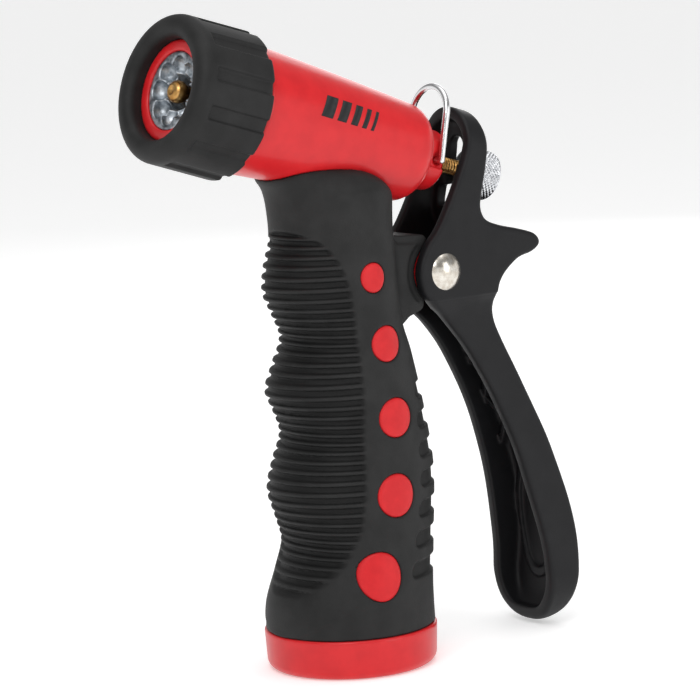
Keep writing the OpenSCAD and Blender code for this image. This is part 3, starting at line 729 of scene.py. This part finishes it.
def bumper_field(x, y, z):
    s, u, r = barrel_axes(x, y, z)
    t = (s - BUMPER_REAR_S) / (BUMPER_FRONT_S - BUMPER_REAR_S)
    radius = BUMPER_REAR_R + (BUMPER_FRONT_R - BUMPER_REAR_R) * t
    around = (np.arctan2(y, u) / (2 * math.pi) * CHANNELS) % 1.0 - 0.5
    channel = step_up(-np.abs(around), -CHANNEL_HALF, 0.03) * step_up(-s, -CHANNEL_END_S, 0.35)
    wall = r - radius + CHANNEL_DEPTH * channel
    front = rounded_end(wall, s - BUMPER_FRONT_S, BUMPER_EDGE)
    rear = rounded_end(wall, BUMPER_REAR_S - s, BUMPER_REAR_EDGE)
    lip = rounded_end(NOSE_R + SNUG - r, s - BUMPER_FRONT_S, LIP_EDGE)
    shape = np.maximum(np.maximum(front, rear), lip)
    recess = np.maximum(r - NOSE_R - RECESS_WIDTH, s - (BUMPER_REAR_S + RECESS_DEPTH))
    return carve(shape, recess, 0.3)


bumper_mesh = surface(bumper_field, (-46, -15.8, 100), (-18, 15.8, 137.5), 0.3)
place_piece("rubber_bumper", bumper_mesh, "grip_rubber", "gun", "bumper")


# ---- spray insert, stem and knob ----

BOWL_S, BOWL_SLOPE, BOWL_R = 33.2, 0.34, 5.0
SCALLOPS, SCALLOP_RING_R, SCALLOP_R, SCALLOP_STRETCH = 8, 5.0, 2.0, 0.75
SEAL_GROOVE_DEPTH, SEAL_GROOVE_S = 1.4, (1.2, 2.8)


def insert_field(x, y, z):
    s, u, r = barrel_axes(x, y, z)
    shape = common(rod(u, y, INSERT_R), slab(s, INSERT_REAR_S, INSERT_FRONT_S), 0.4)
    bowl = r - np.clip(ORIFICE_R + (s - BOWL_S) * BOWL_SLOPE, ORIFICE_R, BOWL_R)
    shape = carve(shape, bowl, 0.5)
    for k in range(SCALLOPS):
        a = 2 * math.pi * k / SCALLOPS
        cu, cy = SCALLOP_RING_R * math.cos(a), SCALLOP_RING_R * math.sin(a)
        deep = (s - INSERT_FRONT_S) * SCALLOP_STRETCH
        ball = np.sqrt((u - cu) ** 2 + (y - cy) ** 2 + deep**2) - SCALLOP_R
        shape = carve(shape, ball, 0.35)
    groove = slab(s, INSERT_REAR_S + SEAL_GROOVE_S[0], INSERT_REAR_S + SEAL_GROOVE_S[1])
    return carve(shape, np.maximum(INSERT_R - SEAL_GROOVE_DEPTH - r, groove), 0.1)


insert_mesh = surface(insert_field, (-41, -8.4, 109), (-24, 8.4, 130), 0.17)
place_piece("spray_insert_disc", insert_mesh, "zinc", "gun", "spray_insert")

# [place along the barrel's axis, radius] of the stem, with close rings under its thread
STEM_PROFILE = [
    (-41.2, 0.0), (-41.2, 1.1), (-40.8, 1.6), *[(-40.6 + 0.09 * k, STEM_R) for k in range(150)],
    (-27.1, STEM_R), (30, STEM_R), (30.02, 2.45), (30.75, 2.45), (30.85, 2.3), (32, 1.45),
    (34.9, 1.45), (35.3, 1.5), (35.9, 1.95), (36.4, 2.2), (37.2, 2.25), (37.8, 2.15), (38.3, 1.75),
    (38.6, 1.2), (38.65, 0.8), (38.2, 0.5), (38.1, 0.0),
]
STEM_THREAD_S, STEM_PITCH, STEM_THREAD_DEPTH = (-40.7, -27.3), 0.7, 0.36


def stem_thread(s, angles):
    """V thread on the stem's rear end."""
    if not STEM_THREAD_S[0] < s < STEM_THREAD_S[1]:
        return np.zeros(len(angles))
    phase = (s / STEM_PITCH - angles / (2 * math.pi)) % 1.0
    return -STEM_THREAD_DEPTH * (1 - np.abs(2 * phase - 1))


welded(place_piece("brass_stem", lathe(STEM_PROFILE, 72, stem_thread), "brass", "valve_stem", "stem"))

KNURLS, KNURL_TWIST, KNURL_HEIGHT, KNURL_FLOOR, KNURL_MARGIN = 32, 7.26, 0.2, 0.34, 0.75
KNOB_RECESS_R, KNOB_RECESS = 3.4, 1.8


def knob_field(x, y, z):
    s, u, r = barrel_axes(x, y, z)
    around, twist = KNURLS * np.arctan2(y, u), KNURL_TWIST * (s - KNOB_FRONT_S)
    crossed = np.abs(np.sin((around + twist) / 2)) + np.abs(np.sin((around - twist) / 2))
    rear_s = KNOB_FRONT_S - KNOB_LEN
    band = step_up(s, rear_s + KNURL_MARGIN, 0.15) * step_up(-s, KNURL_MARGIN - KNOB_FRONT_S, 0.15)
    shape = r - KNOB_R + (KNURL_FLOOR - KNURL_HEIGHT * crossed) * band
    shape = common(shape, slab(s, rear_s, KNOB_FRONT_S), 0.8)
    shape = carve(shape, r - STEM_R - 0.05, 0.1)
    return carve(shape, np.maximum(r - KNOB_RECESS_R, s - (rear_s + KNOB_RECESS)), 0.25)


knob_mesh = surface(knob_field, (31.5, -5.9, 88.5), (44, 5.9, 105), 0.13)
place_piece("knurled_knob", knob_mesh, "knob_chrome", "knob", "adjust_knob")


# ---- lever ----

lever_outside = outline(curve(LEVER_OUTLINE, 6, closed=True))
trough = curve(TROUGH_FACE, 6)
lever_inside = outline(np.concatenate([[(5, 115)], trough, [(5, 2.6)]]))
lever_side_at = along(LEVER_SIDE)

LEVER_FULLER, FULLER_FROM_Z, LEVER_WIDER, RIVET_GAP = 0.16, 66, 0.05, 0.05
# crossed ribs and the oval rim on the trough's floor
CROSS_HEIGHTS, CROSS_TILT, CROSS_HALF, CROSS_REACH = (64, 54, 44.5), 0.85, 0.55, 6
OVAL_Z, OVAL_HALF_Y, OVAL_HALF_Z, OVAL_LINE = 22, 5.6, 11.5, 0.5
CROSS_RISE, OVAL_RISE, RIB_ROOT = 2.0, 0.9, 0.4
CROSS_FROM_Z = 36  # the crosses are above this height and the oval is below it
SLOT_FROM_X = 24  # the slot and its window are cut only behind this


def lever_front(y, z, inset):
    """Field of the lever's front view below its arch, moved inwards by inset."""
    half, height = BULB_HALF - inset, BULB_H - inset
    low = (np.hypot(y / half, (z - BULB_Z) / height) - 1) * half
    high = np.abs(y) - lever_side_at(z) + inset
    return np.where(z < BULB_Z, low, high)


def lever_width(x, y, z, inset):
    """Field of the lever's width all the way up, arch included, moved inwards by inset."""
    _, u, _ = barrel_axes(x, y, z)
    arch = np.where(u > ARCH_U, np.hypot(u - ARCH_U, y), np.abs(y)) - (ARM_HALF - inset)
    return np.where(z < ARCH_FROM_Z, lever_front(y, z, inset), arch)


def trough_ribs(x, y, z):
    """Field of the crossed ribs and the oval rim on the trough's floor."""
    depth = np.interp(z, trough[::-1, 1], trough[::-1, 0]) - x
    ribs = np.full(np.broadcast_shapes(x.shape, y.shape, z.shape), 9.0)
    for height in CROSS_HEIGHTS:
        for way in (-1, 1):
            off_line = (z - height) * math.cos(CROSS_TILT) + way * y * math.sin(CROSS_TILT)
            line = np.maximum(np.abs(off_line) - CROSS_HALF, np.abs(z - height) - CROSS_REACH)
            ribs = np.minimum(ribs, line)
    oval = np.abs(np.hypot(y / OVAL_HALF_Y, (z - OVAL_Z) / OVAL_HALF_Z) - 1) * OVAL_HALF_Y - OVAL_LINE
    rise = np.where(z > CROSS_FROM_Z, CROSS_RISE, OVAL_RISE)
    return np.maximum(np.minimum(ribs, oval), np.maximum(depth - rise, -RIB_ROOT - depth))


def lever_slot(y, z):
    """Field of the slot over the stem and the wider window below it, seen from behind."""
    slot = np.maximum(slab(z, WINDOW_Z + 1, SLOT_TOP_Z - SLOT_HALF), np.abs(y) - SLOT_HALF)
    slot = np.minimum(slot, np.hypot(y, z - SLOT_TOP_Z + SLOT_HALF) - SLOT_HALF)
    window = common(slab(z, WINDOW_Z, SLOT_STEP_Z), np.abs(y) - WINDOW_HALF, 1.0)
    return join(slot, window, 0.6)


def lever_field(x, y, z):
    side = lever_outside(x, z) - LEVER_FULLER * step_up(z, FULLER_FROM_Z, 4)
    shape = common(side, lever_width(x, y, z, -LEVER_WIDER), 1.1)
    hollow = common(lever_inside(x, z), lever_width(x, y, z, LEVER_WALL), 1.2)
    ribs = common(trough_ribs(x, y, z), lever_width(x, y, z, LEVER_WALL - 0.3), 0.3)
    shape = join(carve(shape, hollow, 0.7), common(ribs, side, 0.3), 0.7)
    shape = carve(shape, np.maximum(lever_slot(y, z), SLOT_FROM_X - x), 0.5)
    return carve(shape, from_pivot(x, z) - RIVET_R - RIVET_GAP, 0.2)


lever_mesh = surface(lever_field, (14, -10.8, -0.6), (55.5, 10.8, 113.5), 0.36)
place_piece("squeeze_lever", lever_mesh, "lever_black", "lever", "lever")


# ---- stage, light and camera ----

LIGHT_TARGET = Vector((0.005, 0, 0.07))


def area_light(name, place, size, power):
    """Rectangular light at place, facing the middle of the gun."""
    data = bpy.data.lights.new(name, "AREA")
    data.shape, data.size, data.size_y, data.energy = "RECTANGLE", size[0], size[1], power
    light = bpy.data.objects.new(name, data)
    light.location = place
    light.rotation_euler = (LIGHT_TARGET - Vector(place)).to_track_quat("-Z", "Y").to_euler()
    bpy.context.scene.collection.objects.link(light)


area_light("key", (-0.45, -0.40, 0.60), (0.45, 0.45), 2.3)
area_light("side", (0.25, -0.70, 0.25), (0.3, 0.5), 0.9)
area_light("top", (0.1, -0.05, 0.8), (0.6, 0.6), 1.2)
area_light("rim", (0.5, 0.45, 0.35), (0.3, 0.5), 0.6)

FLOOR_HALF, FLOOR_Z = 12000, -0.05  # millimetres
floor_mat = new_material("floor", (0.9, 0.9, 0.9), roughness=0.75, Emission_Color=(1, 1, 1, 1),
                         Emission_Strength=0.35)
link_noise(floor_mat, 30, 2, "Roughness", 0.7, 0.8)
corners = [(x * FLOOR_HALF, y * FLOOR_HALF, FLOOR_Z) for x, y in [(-1, -1), (1, -1), (1, 1), (-1, 1)]]
floor = mesh_object("floor", corners, [(0, 1, 2, 3)], floor_mat)

world = bpy.data.worlds.new("studio")
world.use_nodes = True
nodes, links = world.node_tree.nodes, world.node_tree.links
# white around the horizon, a darker band above it, and a pale top
direction = nodes.new("ShaderNodeTexCoord")
parts = nodes.new("ShaderNodeSeparateXYZ")
height = nodes.new("ShaderNodeMapRange")
height.inputs["From Min"].default_value = -1
ramp = nodes.new("ShaderNodeValToRGB")
stops = [(0.0, 0.9), (0.60, 1.0), (0.66, 0.30), (0.84, 0.30), (0.93, 0.85)]
for _ in stops[2:]:
    ramp.color_ramp.elements.new(0.5)
for element, (place, value) in zip(ramp.color_ramp.elements, stops):
    element.position, element.color = place, (value, value, value, 1)
links.new(direction.outputs["Generated"], parts.inputs["Vector"])
links.new(parts.outputs["Z"], height.inputs["Value"])
links.new(height.outputs["Result"], ramp.inputs["Fac"])
links.new(ramp.outputs["Color"], nodes["Background"].inputs["Color"])
nodes["Background"].inputs["Strength"].default_value = 1.0
bpy.context.scene.world = world
bpy.context.scene.view_settings.view_transform = "Standard"

AZIMUTH, ELEVATION, ROLL = math.radians(-36.42), math.radians(8.33), math.radians(-2.8)
DISTANCE, LENS, TARGET = 0.7, 177.35, Vector((0.00318, 0, 0.0642))


def main_camera():
    """Camera to the left of the front, slightly above, and rolled a little."""
    level = math.cos(ELEVATION)
    back = Vector((math.sin(AZIMUTH) * level, -math.cos(AZIMUTH) * level, math.sin(ELEVATION)))
    right = Vector((math.cos(AZIMUTH), math.sin(AZIMUTH), 0))
    up = back.cross(right)
    rolled_right = math.cos(ROLL) * right + math.sin(ROLL) * up
    rolled_up = -math.sin(ROLL) * right + math.cos(ROLL) * up
    data = bpy.data.cameras.new("camera")
    data.lens, data.sensor_width, data.clip_start = LENS, 36, 0.01
    camera = bpy.data.objects.new("camera", data)
    camera.matrix_world = Matrix.Translation(TARGET + back * DISTANCE) @ Matrix(
        (rolled_right, rolled_up, back)).transposed().to_4x4()
    bpy.context.scene.collection.objects.link(camera)
    bpy.context.scene.camera = camera


main_camera()

bpy.context.view_layer.update()
